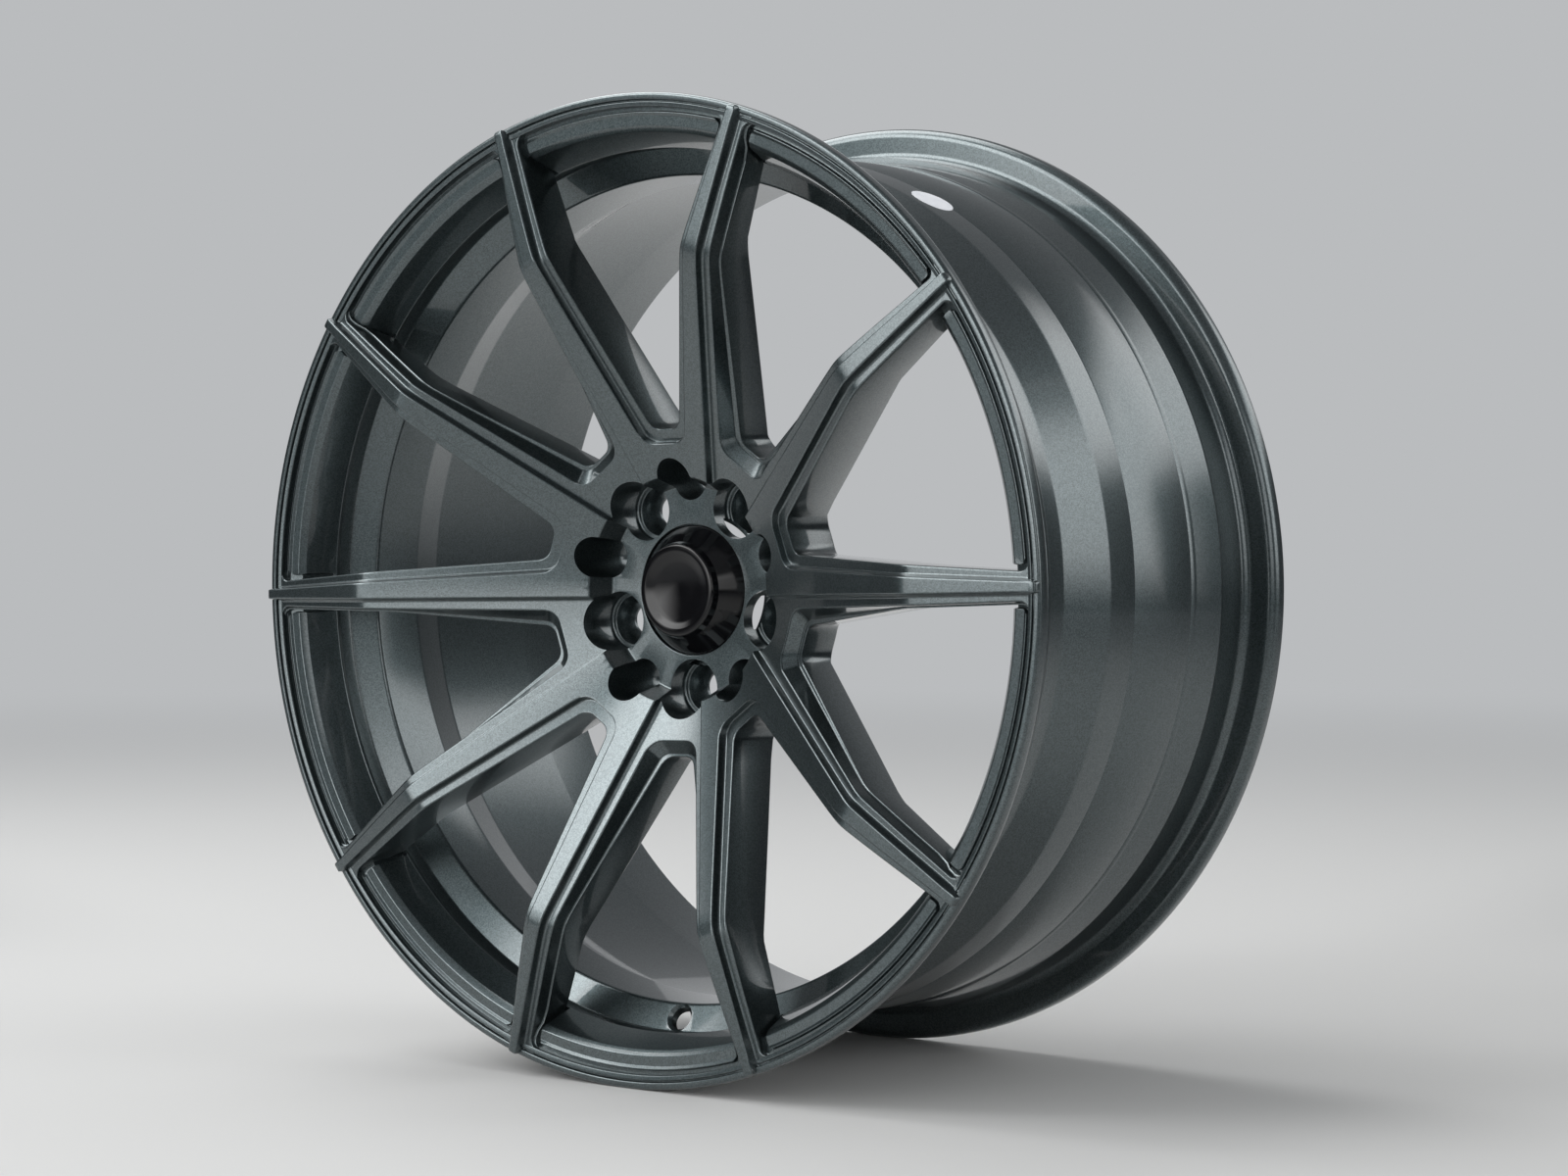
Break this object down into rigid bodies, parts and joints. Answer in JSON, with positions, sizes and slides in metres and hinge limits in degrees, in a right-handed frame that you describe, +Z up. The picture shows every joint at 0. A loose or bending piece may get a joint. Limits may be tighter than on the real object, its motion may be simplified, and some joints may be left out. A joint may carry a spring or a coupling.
{
  "type": "alloy car wheel",
  "caption": "Alloy car wheel with slim spokes in V pairs, stepped ledges round the windows, a ringed outer lip, a deep hub drilled for two bolt circles and a snap-in centre cap.",
  "frame": {"origin": "wheel centre: on the axle, halfway between the rim's two lips", "axes": "+Y along the axle from the street side to the vehicle, +Z up; the street side faces -Y"},
  "size_m": [0.4917, 0.2322, 0.4918],
  "materials": {
    "wheel_paint": "gunmetal grey metallic paint under gloss clear coat",
    "cap_plastic": "gloss black",
    "spring_wire": "bright drawn"
  },
  "bodies": {
    "root": {"wheel": "wheel_paint", "centre_cap": "cap_plastic", "cap_spring_ring": "spring_wire"}
  },
  "joints": []
}
